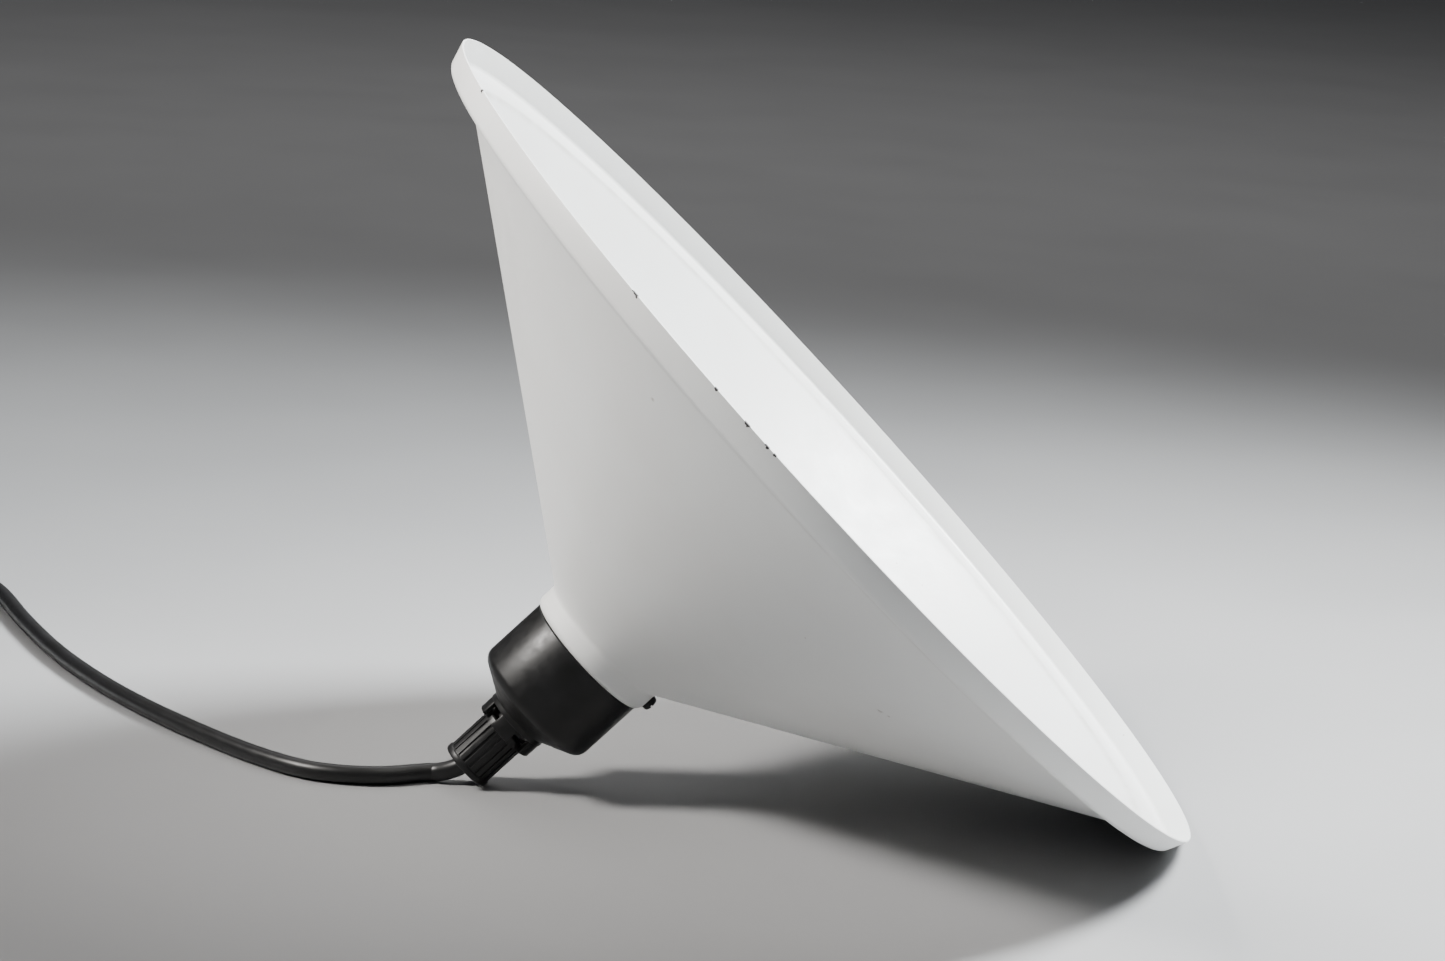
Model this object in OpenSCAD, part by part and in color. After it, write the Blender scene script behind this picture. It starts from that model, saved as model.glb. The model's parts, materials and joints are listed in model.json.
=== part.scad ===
// Conical pendant lamp lying on its side: metal shade, lampholder, cord grip, flex and ceiling cup.
// Millimetres. +Z is up and Z = 0 is the surface that the lamp lies on. The lamp's axis is in the
// XZ plane, the mouth of the shade faces +X and up, and the mouth's diameter runs along Y.
// The lamp's own pieces are drawn hanging, about an axis that points up, with the mouth at height 0,
// and hung_to_lying() then lays them down on the lip and the cord grip.

/* [Shade] */
// Diameter of the mouth over the lip
mouth_d = 360; // [300:5:440]
// Thickness of the sheet metal
sheet = 0.8; // [0.6:0.1:1.2]
// Height of the lip round the mouth
lip_h = 8.5; // [6:0.5:12]
// How far the lip leans in at its back edge
lip_lean = 3; // [1:0.5:4]
// Radius on the back edge of the lip
lip_round = 1.6; // [1.5:0.1:2.5]
// Width of the ledge between the lip and the cone
ledge_w = 11.5; // [6:0.5:16]
// Rise of the ledge from the lip to the cone
ledge_rise = 1; // [0.5:0.5:3]
// Height of the cone
cone_h = 93; // [75:1:115]
// How far the collar stands out past the lampholder
collar_step = 1.4; // [1:0.1:2.5]
// Height of the collar
collar_h = 9; // [8:0.5:14]
// Radius on the top edge of the collar
collar_round = 2.4; // [1.5:0.1:3]
// Diameter of the small screw's head on the collar
shade_screw_d = 5.4; // [4.5:0.1:6]

/* [Lampholder] */
// Outside diameter of the cap
holder_d = 47.6; // [44:0.2:60]
// Width of the cap's shoulder outside the skirt
shoulder = 4.1; // [3.6:0.1:5]
// Wall of the cap and of the skirt
holder_wall = 2; // [1.6:0.1:2.2]
// Height of the cap's straight side
cap_side_h = 22.5; // [20:0.5:36]
// Radius on the cap's back corner
cap_round = 4; // [2:0.5:6]
// Rise of the cap's sloping back
cap_slope_h = 5; // [3:0.5:8]
// Length of skirt inside the cap
skirt_grip = 7; // [5:0.5:10]
// How far the skirt reaches into the shade below the collar
skirt_drop = 32.5; // [30:0.5:40]
// Pitch of the skirt's thread
skirt_pitch = 2.5; // [2:0.25:3]
// Depth of the skirt's thread
skirt_thread = 0.7; // [0.5:0.1:0.9]
// Height of the threaded ring inside the shade
ring_h = 9; // [7:0.5:11]
// Thickness of the washer under the ring
washer_t = 1; // [0.8:0.1:1.5]

/* [Socket] */
// Inside diameter of the brass thread for the bulb
bulb_d = 26.8; // [26.6:0.1:27]
// Length of the brass thread
shell_h = 20; // [18:0.5:22]
// Thickness of the brass thread's sheet
shell_t = 0.5; // [0.4:0.1:0.6]
// Thickness of the insulating block's floor
block_h = 7; // [6.5:0.5:8]
// Thickness of the contact strips
strip_t = 0.7; // [0.6:0.1:0.8]
// Width of the contact strips
strip_w = 6; // [5:0.5:7]
// Height that the contact blade stands out towards the bulb
blade_rise = 3.5; // [3:0.5:4]
// Length of a terminal along the lamp's axis
terminal_h = 7.5; // [7:0.5:8.5]

/* [Cord grip] */
// Gap between the nut and the boss's castellations
lug_gap = 1; // [0.8:0.1:1.5]
// Thickness of the castellations
lug_t = 1.9; // [1.5:0.1:2.5]
// Number of castellations
boss_lugs = 5; // [3:1:6]
// Height of the castellations
lug_h = 5.3; // [4:0.1:6]
// Outside diameter of the ribbed nut
nut_d = 17.6; // [16:0.2:21.2]
// Number of ribs on the nut
nut_ribs = 20; // [12:1:24]
// Depth of the ribs
rib_depth = 0.5; // [0.3:0.1:0.7]
// Length of the nut
nut_h = 20.5; // [18:0.5:26]
// How far the smooth lip on the end of the nut stands out
nut_lip = 0.4; // [0.2:0.1:0.8]
// Thread diameter of the cord grip in the cap
nipple_d = 10; // [9.5:0.5:10]
// Thread diameter of the cord grip in the nut
nut_thread_d = 12; // [11.5:0.5:12.5]

/* [Flex and ceiling cup] */
// Diameter of the flex
flex_d = 6.4; // [5.8:0.1:6.6]
// Tightest bend of the flex, on its middle line
flex_bend = 26; // [25:1:30]
// Diameter of a coil at the middle of its turns
coil_d = 70; // [68:1:74]
// Diameter of the ceiling cup's mouth
cup_d = 72; // [64:1:80]
// Diameter of the ceiling cup's narrow end
cup_neck_d = 22; // [20:1:26]
// Height of the ceiling cup
cup_h = 50; // [44:1:60]
// Wall of the ceiling cup
cup_wall = 2; // [1.5:0.1:2.5]

/* [Fits] */
// Gap round a shaft that turns in its hole
turn_gap = 0.08; // [0.05:0.01:0.1]
// Gap between flat faces that slide on each other
face_gap = 0.1; // [0.05:0.05:0.2]
// Gap round a piece that is dropped into its place
drop_gap = 0.3; // [0.2:0.05:0.4]
// Gap round a piece that is seated in its place and stays there
seat_gap = 0.05; // [0.02:0.01:0.1]
// How much wider a hole is than the screw or the flex in it
hole_gap = 0.1; // [0.1:0.05:0.2]

/* [Hidden] */
$fn = 96;

white = "#eceeee";
black = "#1c1c1e";
flex_black = "#151516";
brass = "#c6a14e";
steel = "#b9bbbe";
porcelain = "#e9e6dc";

// Shade, from the mouth up to the collar
mouth_r = mouth_d / 2;
lip_back_r = mouth_r - lip_lean;
ledge_z = lip_h + ledge_rise;
cone_r = lip_back_r - ledge_w;
collar_z = ledge_z + cone_h;
collar_top = collar_z + collar_h;
holder_r = holder_d / 2;
collar_r = holder_r + collar_step;
collar_foot = 1.2;
screw_z = collar_top - 4;

// Lampholder, from the collar up to the boss
skirt_r = holder_r - shoulder;
skirt_in_r = skirt_r - holder_wall;
cap_z = collar_top + face_gap;
cap_corner_z = cap_z + cap_side_h;
cap_back_z = cap_corner_z + cap_round;
cap_top = cap_back_z + cap_slope_h;
skirt_z = collar_top - skirt_drop;
skirt_top = cap_z + skirt_grip;
boss_d = nut_d + 2 * (lug_gap + lug_t);
boss_r = boss_d / 2;
boss_floor = 2;
boss_top = cap_top + boss_floor;
lug_angle = 40;
boss_wall_h = 4;
lug_root = 0.5;
lug_inset = 0.2;

// Shade ring and its washer, inside the collar
ring_r = collar_r - sheet - 1.2;
washer_z = collar_top - sheet - face_gap - washer_t;
ring_z = washer_z - face_gap - ring_h;
ring_lugs = 12;
ring_lug_h = 3;

// Socket, from its mouth up to the terminals
block_z = cap_z + 1.5;
block_r = skirt_in_r - drop_gap;
strip_z = block_z - strip_t;
shell_r = bulb_d / 2;
tab_h = blade_rise + 1;
shell_top = strip_z - tab_h;
shell_z = shell_top - shell_h;
block_top = block_z + block_h;
leg_x = 12.2;
live_foot_x = 8.2;
neutral_foot_x = shell_r + seat_gap * 2;
rivet_x = 10.2;
rivet_r = 1.25;
rivet_head_r = 1.5;
rivet_head_h = 0.5;
rivet_depth = 4.5;
blade_root = live_foot_x - 0.2;
blade_roll_r = 0.5;
blade_roll = [blade_root - blade_roll_r, strip_z + seat_gap - blade_roll_r];
blade_tip = -3;
blade_w = strip_w - 1;
blade_t = 0.6;
terminal_x = 10;
terminal_w = 7;
core_d = 2.2;
wire_d = 1.4;
clamp_screw_d = 2.8;
clamp_head_d = 5;
clamp_head_h = 1.8;
core_pitch = 2.7;
core_straight = 0.8;

// Cord grip, from the boss up to the flex
nipple_r = nipple_d / 2;
nipple_bore_r = flex_d / 2 + drop_gap;
nipple_foot = cap_top - 7;
flange_r = boss_r - lug_t - lug_gap - 0.4;
flange_h = 2;
flange_top = boss_top + flange_h;
nut_thread_r = nut_thread_d / 2;
nipple_top = flange_top + 8.5;
nut_z = flange_top + 1;
nut_top = nut_z + nut_h;
nut_r = nut_d / 2;
nut_lip_d = nut_d + 2 * nut_lip;
nut_lip_r = nut_lip_d / 2;
nut_lip_h = 2;
nut_edge = 0.5;
collet_z = nipple_top + drop_gap;
collet_h = 4.5;
collet_foot_h = 1.5;
collet_taper_z = collet_z + collet_foot_h;
collet_bore_r = flex_d / 2 + 0.15;
collet_wall = 0.9;
collet_slots = 6;
nut_throat_r = collet_bore_r + collet_wall + turn_gap;

// Lying down: the lip's back edge and the nut's lip both touch Z = 0
touch_r = (lip_back_r - lip_round) - (nut_lip_r - nut_edge);
touch_z = (nut_top - nut_edge) - (lip_h - lip_round);
lean = atan2(touch_r, touch_z) + asin((lip_round - nut_edge) / norm([touch_r, touch_z]));
mouth_up = (lip_back_r - lip_round) * cos(lean) + (lip_h - lip_round) * sin(lean) + lip_round;
reach_back = (lip_back_r - lip_round) * sin(lean) + (lip_h - lip_round) * cos(lean) + lip_round;
reach_front = (mouth_r - sheet / 2) * sin(lean) - sheet / 2 * cos(lean) + sheet / 2;
mouth_x = (reach_back - reach_front) / 2;

// Flex: inside the grip, round its bend, along the surface, round the coil and into the cup
flex_r = flex_d / 2;
flex_end = nipple_foot - 0.8;
bend_drop = flex_bend * (1 - cos(lean));
bend_z = (mouth_up - flex_r - bend_drop) / sin(lean);
bend_out = mouth_x - bend_z * cos(lean) - flex_bend * sin(lean);
bend_steps = 6;
LEAD_ROUTE = [
    [-146, -7], [-166, -5], [-184, 8], [-204, 30], [-230, 64],
    [-252, 99], [-272, 138], [-290, 182], [-306, 226], [-323, 257]
];
coil_at = [-375, 268];
coil_start = 30;
coil_step = flex_d + 0.1;
coil_r = coil_d / 2;
coil_outer_r = coil_r + coil_step / 2;
coil_levels = 3;
slot_angle = 290;
coil_slots = 5;
coil_end = coil_start + slot_angle * coil_slots;
coil_top_z = flex_r + (coil_levels - 1) * coil_step;
TAIL_ROUTE = [
    [-358, 306, 15], [-376, 323, 12], [-398, 334, 8], [-420, 336, 4.5],
    [-441, 328, 3.2], [-456, 312, 3.2], [-464, 295, 3.2]
];

// Ceiling cup, lying on its slope with its neck towards +Y
cup_r = cup_d / 2;
cup_neck_r = cup_neck_d / 2;
cup_lean = atan2(cup_r - cup_neck_r, cup_h);
cup_x = -466;
gland_y = 268;
gland_out = 8;
gland_r = 6;
gland_flange_r = 8.6;
gland_flange_h = 3;
cup_mouth_y = gland_y - (cup_h + gland_out) * cos(cup_lean);
cup_mouth_z = cup_r * cos(cup_lean);
cup_flex_end = cup_h - 8;
cup_bend_rise = flex_bend * (1 - cos(cup_lean));
cup_bend_end = (cup_mouth_z - flex_r - cup_bend_rise) / sin(cup_lean);
cup_bend_y = cup_mouth_y + cup_bend_end * cos(cup_lean) + flex_bend * sin(cup_lean);
cup_screw_at = cup_h + 4;
cup_across = cup_wall / cos(cup_lean);
connector_size = [17, 16, 11];
connector_y = cup_mouth_y + 8;
connector_pitch = 8;
connector_back = connector_y + connector_size[1];
back_s = (connector_back - cup_mouth_y) * cos(cup_lean) + (cup_mouth_z - cup_wall) * sin(cup_lean);
back_r = (cup_r - (cup_r - cup_neck_r) * back_s / cup_h - cup_across) / cos(cup_lean);
connector_half = connector_size[0] / 2;
connector_low = cup_wall + back_r - sqrt(back_r * back_r - connector_half * connector_half) + drop_gap;
connector_hole_z = connector_low + 4;

function arc(centre, r, from, to, steps) =
    [for (i = [0 : steps]) let (a = from + (to - from) * i / steps) centre + r * [cos(a), sin(a)]];

// Points of an open outline moved sideways by t, to the left of its direction
function unit(v) = v / norm(v);
function left(v) = [-v[1], v[0]];
function corner_shift(a, b) = (a + b) / (1 + a * b);
function side_normals(pts) = [for (i = [0 : len(pts) - 2]) left(unit(pts[i + 1] - pts[i]))];
function shifted(pts, t) =
    let (n = side_normals(pts), last = len(pts) - 1)
    [
        for (i = [0 : last])
            pts[i] + t * (i == 0 ? n[0] : i == last ? n[last - 1] : corner_shift(n[i - 1], n[i]))
    ];
function reversed(pts) = [for (i = [len(pts) - 1 : -1 : 0]) pts[i]];
function walled(pts, t) = concat(pts, reversed(shifted(pts, t)));

// Smooth curve through points, each span cut in steps
function between(a, b, c, d, t) =
    0.5 * (2 * b + (c - a) * t + (2 * a - 5 * b + 4 * c - d) * t * t + (3 * b - a - 3 * c + d) * t * t * t);
function smooth(pts, steps) =
    let (last = len(pts) - 1)
    concat(
        [for (i = [0 : last - 1], k = [0 : steps - 1])
            between(pts[max(i - 1, 0)], pts[i], pts[i + 1], pts[min(i + 2, last)], k / steps)],
        [pts[last]]
    );

// Round tube along a path that never runs along the vector aside
function heading(path, i) = unit(path[min(i + 1, len(path) - 1)] - path[max(i - 1, 0)]);
function ring_at(path, i, r, sides, aside) =
    let (d = heading(path, i), s = unit(cross(aside, d)), u = cross(d, s))
    [for (k = [0 : sides - 1]) path[i] + r * (cos(360 * k / sides) * s + sin(360 * k / sides) * u)];

module tube(path, r, sides, aside = [0, 0, 1]) {
    rings = len(path);
    points = [for (i = [0 : rings - 1]) each ring_at(path, i, r, sides, aside)];
    walls = [
        for (i = [0 : rings - 2], k = [0 : sides - 1])
            let (a = i * sides, b = a + sides, next = (k + 1) % sides)
                [a + k, b + k, b + next, a + next]
    ];
    first = [for (k = [0 : sides - 1]) k];
    last = [for (k = [sides - 1 : -1 : 0]) (rings - 1) * sides + k];
    polyhedron(points, concat(walls, [first, last]), convexity = 8);
}

module hung_to_lying() {
    translate([mouth_x, 0, mouth_up])
        rotate([0, -(90 + lean), 0])
            children();
}

module cup_to_lying() {
    translate([cup_x, cup_mouth_y, cup_mouth_z])
        rotate([-(90 + cup_lean), 0, 0])
            children();
}

function hung_point(r, z) =
    [mouth_x - r * sin(lean) - z * cos(lean), 0, mouth_up + r * cos(lean) - z * sin(lean)];
function cup_point(s) = [cup_x, cup_mouth_y + s * cos(cup_lean), cup_mouth_z - s * sin(cup_lean)];
function bend_path() = [
    for (i = [0 : bend_steps]) let (a = lean * (1 - i / bend_steps))
        [bend_out + flex_bend * sin(a), 0, flex_r + flex_bend * (1 - cos(a))]
];
function coil_point(a, r, z) = [coil_at[0] + r * cos(a), coil_at[1] + r * sin(a), z];
function lead_path() = concat(
    [hung_point(0, flex_end), hung_point(0, (flex_end + bend_z) / 2)],
    bend_path(),
    [for (i = [1 : len(table_path()) - 1]) table_path()[i]]
);
function table_path() = smooth(
    concat(
        [[bend_out, 0, flex_r]],
        [for (p = LEAD_ROUTE) [p[0], p[1], flex_r]],
        [coil_point(coil_start, coil_outer_r, flex_r)]
    ), 4);
function tail_path() = concat(
    smooth(concat(
        [coil_point(coil_end, coil_outer_r, coil_top_z)],
        TAIL_ROUTE,
        [[cup_x, cup_bend_y, flex_r]]
    ), 3),
    [
        for (i = [1 : 4]) let (a = cup_lean * i / 4)
            [cup_x, cup_bend_y - flex_bend * sin(a), flex_r + flex_bend * (1 - cos(a))]
    ],
    [cup_point(cup_flex_end)]
);

function shade_outline() = concat(
    [[mouth_r, 0]],
    arc([lip_back_r - lip_round, lip_h - lip_round], lip_round, 0, 90, 6),
    [[cone_r, ledge_z], [collar_r + collar_foot, collar_z], [collar_r, collar_z + collar_foot]],
    arc([collar_r - collar_round, collar_top - collar_round], collar_round, 0, 90, 6),
    [[skirt_r + turn_gap, collar_top]]
);

module shade() {
    color(white)
        hung_to_lying()
            difference() {
                rotate_extrude($fn = 180) polygon(walled(shade_outline(), sheet));
                translate([0, 0, screw_z])
                    rotate([0, -90, 0])
                        cylinder(h = collar_r + 1, d = clamp_screw_d + hole_gap, $fn = 24);
            }
}

// Pan-head screw on the lower side of the collar, its tip just clear of the ring
module shade_screw() {
    head_h = 2.4;
    color(black)
        hung_to_lying()
            translate([0, 0, screw_z])
                rotate([0, -90, 0])
                    difference() {
                        union() {
                            translate([0, 0, ring_r + drop_gap])
                                cylinder(h = collar_r - ring_r, d = clamp_screw_d, $fn = 24);
                            translate([0, 0, collar_r + face_gap])
                                cylinder(h = head_h, d = shade_screw_d, $fn = 32);
                        }
                        translate([0, 0, collar_r + face_gap + head_h])
                            cube([shade_screw_d + 1, 0.9, 2], center = true);
                    }
}

function cap_outline() = concat(
    [[holder_r, cap_z]],
    arc([holder_r - cap_round, cap_corner_z], cap_round, 0, 60, 6),
    [[boss_r, cap_top], [boss_r, boss_top], [nipple_r + seat_gap, boss_top]]
);
function cap_inside() = [
    [nipple_r + seat_gap, cap_top - boss_wall_h],
    [boss_r - 1, cap_top - boss_wall_h],
    [holder_r - cap_round - holder_wall, cap_back_z - holder_wall - 1],
    [holder_r - holder_wall, cap_corner_z - 1],
    [holder_r - holder_wall, skirt_top + drop_gap],
    [skirt_r + seat_gap, skirt_top + drop_gap],
    [skirt_r + seat_gap, cap_z]
];

module holder_cap() {
    lug_r = boss_r - lug_t;
    color(black)
        hung_to_lying() {
            rotate_extrude() polygon(concat(cap_outline(), cap_inside()));
            for (i = [0 : boss_lugs - 1])
                rotate([0, 0, 180 + 360 * i / boss_lugs - lug_angle / 2])
                    rotate_extrude(angle = lug_angle)
                        translate([lug_r, boss_top - lug_root])
                            square([lug_t - lug_inset, lug_h + lug_root]);
        }
}

// Threaded tube; the thread is drawn as rings of the same pitch
module holder_skirt() {
    thread_low = 3;
    thread_end = 5;
    turns = floor((skirt_drop - thread_low - thread_end) / skirt_pitch);
    groove_w = skirt_pitch * 0.45;
    color(black)
        hung_to_lying()
            difference() {
                translate([0, 0, skirt_z]) cylinder(h = skirt_top - skirt_z, r = skirt_r);
                translate([0, 0, skirt_z - 1]) cylinder(h = skirt_top - skirt_z + 2, r = skirt_in_r);
                for (i = [0 : turns - 1])
                    translate([0, 0, skirt_z + thread_low + i * skirt_pitch])
                        difference() {
                            cylinder(h = groove_w, r = skirt_r + 1);
                            translate([0, 0, -1]) cylinder(h = groove_w + 2, r = skirt_r - skirt_thread);
                        }
            }
}

module ring_washer() {
    color(steel)
        hung_to_lying()
            translate([0, 0, washer_z])
                difference() {
                    cylinder(h = washer_t, r = ring_r);
                    translate([0, 0, -1]) cylinder(h = washer_t + 2, r = skirt_r + turn_gap);
                }
}

module shade_ring() {
    color(black)
        hung_to_lying() {
            difference() {
                translate([0, 0, ring_z]) cylinder(h = ring_h, r = ring_r);
                translate([0, 0, ring_z - 1]) cylinder(h = ring_h + 2, r = skirt_r + turn_gap);
            }
            for (i = [0 : ring_lugs - 1])
                rotate([0, 0, 360 * i / ring_lugs])
                    rotate_extrude(angle = 180 / ring_lugs)
                        translate([skirt_r + 0.5, ring_z - ring_lug_h])
                            square([ring_r - skirt_r - 0.9, ring_lug_h + 0.5]);
        }
}

// Cup-shaped insulator: the floor carries the contacts, the wall holds the brass thread
module contact_block() {
    slot = [strip_t + 0.2, strip_w + 0.2, block_h + 2];
    color(porcelain)
        hung_to_lying()
            difference() {
                translate([0, 0, shell_z]) cylinder(h = block_top - shell_z, r = block_r);
                translate([0, 0, shell_z - 1])
                    cylinder(h = block_z - shell_z + 1, r = shell_r + shell_t + seat_gap);
                for (side = [-1, 1]) {
                    translate([side * leg_x, 0, block_z + block_h / 2]) cube(slot, center = true);
                    translate([side * rivet_x, 0, block_z - 1])
                        cylinder(h = rivet_depth + 1, r = rivet_r + seat_gap, $fn = 24);
                }
            }
}

module screw_shell() {
    color(brass)
        hung_to_lying()
            translate([0, 0, shell_z])
                difference() {
                    cylinder(h = shell_h, r = shell_r + shell_t);
                    translate([0, 0, -1]) cylinder(h = shell_h + 2, r = shell_r);
                }
}

// Strip with a foot under the block's floor and a leg through it, up to the terminal
module strap(foot_in, foot_out) {
    difference() {
        union() {
            translate([foot_in, -strip_w / 2, strip_z]) cube([foot_out - foot_in, strip_w, strip_t]);
            translate([leg_x - strip_t / 2, -strip_w / 2, strip_z])
                cube([strip_t, strip_w, block_top - strip_z]);
        }
        translate([rivet_x, 0, strip_z - 1]) cylinder(h = strip_t + 2, r = rivet_r + seat_gap, $fn = 24);
    }
}

module live_strap() {
    color(brass)
        hung_to_lying() strap(live_foot_x, leg_x + strip_t / 2);
}

// The neutral strap has a tab down to the brass thread's back edge
module side_contact() {
    color(brass)
        hung_to_lying()
            mirror([1, 0, 0]) {
                strap(live_foot_x, neutral_foot_x);
                translate([neutral_foot_x - strip_t, -strip_w / 2, shell_top])
                    cube([strip_t, strip_w, tab_h + strip_t]);
            }
}

// Springy blade: it bends about its rolled root beside the live strap
module centre_contact() {
    low = strip_z - blade_rise;
    crown_x = blade_tip + 3;
    knee_x = blade_root - 1.5;
    outline = [
        [blade_roll[0], strip_z + seat_gap], [knee_x, strip_z + seat_gap], [crown_x + 1.5, low + blade_t],
        [blade_tip, low + blade_t + 0.6], [blade_tip, low + 0.6], [crown_x + 1.5, low],
        [knee_x, strip_z + seat_gap - blade_t], [blade_roll[0], strip_z + seat_gap - blade_t]
    ];
    color(brass)
        hung_to_lying() {
            rotate([90, 0, 0])
                translate([0, 0, -blade_w / 2])
                    linear_extrude(blade_w) polygon(outline);
            translate([blade_roll[0], 0, blade_roll[1]])
                rotate([90, 0, 0]) cylinder(h = blade_w, r = blade_roll_r, center = true, $fn = 24);
            translate([crown_x, 0, low - 0.4]) cylinder(h = 1, r = 1.8, $fn = 32);
        }
}

module block_rivets() {
    color(steel)
        hung_to_lying()
            for (side = [-1, 1])
                translate([side * rivet_x, 0, strip_z]) {
                    translate([0, 0, -rivet_head_h]) cylinder(h = rivet_head_h, r = rivet_head_r, $fn = 24);
                    cylinder(h = strip_t + rivet_depth, r = rivet_r, $fn = 24);
                }
}

module terminal() {
    difference() {
        translate([terminal_x - terminal_w / 2, -terminal_w / 2, block_top])
            cube([terminal_w, terminal_w, terminal_h]);
        translate([terminal_x - 1, 0, block_top + 1.5])
            cylinder(h = terminal_h, d = wire_d + 0.4, $fn = 24);
        translate([terminal_x, 0, block_top + terminal_h / 2])
            rotate([0, 90, 0]) cylinder(h = terminal_w, d = clamp_screw_d + hole_gap, $fn = 24);
    }
}

module live_terminal() {
    color(brass)
        hung_to_lying() terminal();
}

module neutral_terminal() {
    color(brass)
        hung_to_lying() mirror([1, 0, 0]) terminal();
}

module slotted_screw(length, shank_d, head_d, head_h) {
    difference() {
        union() {
            translate([0, 0, -length]) cylinder(h = length, d = shank_d, $fn = 24);
            cylinder(h = head_h, d = head_d, $fn = 24);
        }
        translate([0, 0, head_h]) cube([head_d + 1, 0.7, head_h], center = true);
    }
}

module terminal_screws() {
    screw_len = terminal_w / 2 + 1 - wire_d / 2 - 0.4;
    color(steel)
        hung_to_lying()
            for (side = [0, 1])
                mirror([side, 0, 0])
                    translate([terminal_x + terminal_w / 2, 0, block_top + terminal_h / 2])
                        rotate([0, 90, 0])
                            slotted_screw(screw_len, clamp_screw_d, clamp_head_d, clamp_head_h);
}

// Insulated conductor from the end of the flex to its terminal, with a bare end
module core(side) {
    hole_x = terminal_x - 1;
    top = block_top + terminal_h;
    mid = [(core_pitch / 2 + hole_x) / 2, (flex_end + top) / 2];
    half = [hole_x - mid[0], flex_end - core_straight - mid[1]];
    steps = 6;
    path = concat(
        [[core_pitch / 2, flex_end]],
        [for (i = [0 : steps]) let (a = 90 * i / steps)
            [mid[0] - half[0] * cos(a), flex_end - core_straight - half[1] * sin(a)]],
        [for (i = [1 : steps]) let (a = 90 * i / steps)
            [mid[0] + half[0] * sin(a), top + core_straight + half[1] * cos(a)]],
        [[hole_x, top]]
    );
    tube([for (p = path) hung_point(side * p[0], p[1])], core_d / 2, 8, [0, 1, 0]);
    hung_to_lying()
        translate([side * hole_x, 0, block_top + 2])
            cylinder(h = terminal_h - 1.5, d = wire_d, $fn = 16);
}

module live_core() {
    color("#5a3a22") core(1);
}

module neutral_core() {
    color("#2a55a8") core(-1);
}

// Nipple: lower thread in the boss, flange between the castellations, upper thread in the nut
module grip_base() {
    color(black)
        hung_to_lying()
            difference() {
                union() {
                    translate([0, 0, nipple_foot]) cylinder(h = boss_top - nipple_foot, r = nipple_r);
                    translate([0, 0, boss_top]) cylinder(h = flange_h, r = flange_r, $fn = 6);
                    translate([0, 0, flange_top]) cylinder(h = nipple_top - flange_top, r = nut_thread_r);
                }
                translate([0, 0, nipple_foot - 1])
                    cylinder(h = nipple_top - nipple_foot + 2, r = nipple_bore_r);
            }
}

module grip_collet() {
    foot_r = nut_thread_r - 0.1;
    tip_r = collet_bore_r + collet_wall;
    slot_w = 0.8;
    color(black)
        hung_to_lying()
            difference() {
                union() {
                    translate([0, 0, collet_z]) cylinder(h = collet_taper_z - collet_z, r = foot_r);
                    translate([0, 0, collet_taper_z])
                        cylinder(h = collet_h - collet_foot_h, r1 = foot_r, r2 = tip_r);
                }
                translate([0, 0, collet_z - 1]) cylinder(h = collet_h + 2, r = collet_bore_r);
                for (i = [0 : collet_slots / 2 - 1])
                    rotate([0, 0, 360 * i / collet_slots])
                        translate([-nut_r, -slot_w / 2, collet_taper_z])
                            cube([nut_d, slot_w, collet_h]);
            }
}

module grip_nut() {
    seat_z = collet_taper_z + turn_gap;
    throat_z = collet_z + collet_h + turn_gap;
    mouth_flare = nut_lip_r - 2.8;
    rib_w = 1.4;
    rib_root = 0.5;
    thread_r = nut_thread_r + turn_gap;
    inside = [
        [thread_r, nut_z], [thread_r, seat_z], [nut_throat_r, throat_z],
        [nut_throat_r, throat_z + 1], [mouth_flare, nut_top]
    ];
    outside = concat(
        arc([nut_lip_r - nut_edge, nut_top - nut_edge], nut_edge, 90, 0, 4),
        [
            [nut_lip_r, nut_top - nut_lip_h], [nut_r - rib_depth, nut_top - nut_lip_h - 0.6],
            [nut_r - rib_depth, nut_z + 3.5], [nut_r, nut_z + 3], [nut_r, nut_z + 0.5], [nut_r - 0.5, nut_z]
        ]
    );
    color(black)
        hung_to_lying() {
            rotate_extrude() polygon(concat(inside, outside));
            for (i = [0 : nut_ribs - 1])
                rotate([0, 0, 360 * i / nut_ribs])
                    translate([nut_r - rib_depth - rib_root, -rib_w / 2, nut_z + 2.5])
                        cube([rib_depth + rib_root, rib_w, nut_h - nut_lip_h - 2.2]);
        }
}

module cord_lead() {
    color(flex_black) tube(lead_path(), flex_r, 10);
}

module cord_coil() {
    in_r = coil_r - coil_step / 2 - flex_r;
    out_r = coil_outer_r + flex_r;
    high = coil_top_z + flex_r;
    ease = flex_r * 0.6;
    color(flex_black)
        translate([coil_at[0], coil_at[1], 0])
            rotate_extrude()
                polygon([
                    [in_r + ease, 0], [out_r - ease, 0], [out_r, ease], [out_r, high - ease],
                    [out_r - ease, high], [in_r + ease, high], [in_r, high - ease], [in_r, ease]
                ]);
}

module cord_tail() {
    color(flex_black) tube(tail_path(), flex_r, 10);
}

// Cone with an open mouth and a hole in its neck
module ceiling_cup() {
    hole_r = gland_r + hole_gap;
    floor_r = cup_neck_r + (cup_r - cup_neck_r) * cup_wall / cup_h - cup_across;
    outline = [
        [cup_r, 0], [cup_neck_r, cup_h], [hole_r, cup_h], [hole_r, cup_h - cup_wall],
        [floor_r, cup_h - cup_wall], [cup_r - cup_across, 0]
    ];
    color(black)
        cup_to_lying()
            rotate_extrude() polygon(outline);
}

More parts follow.
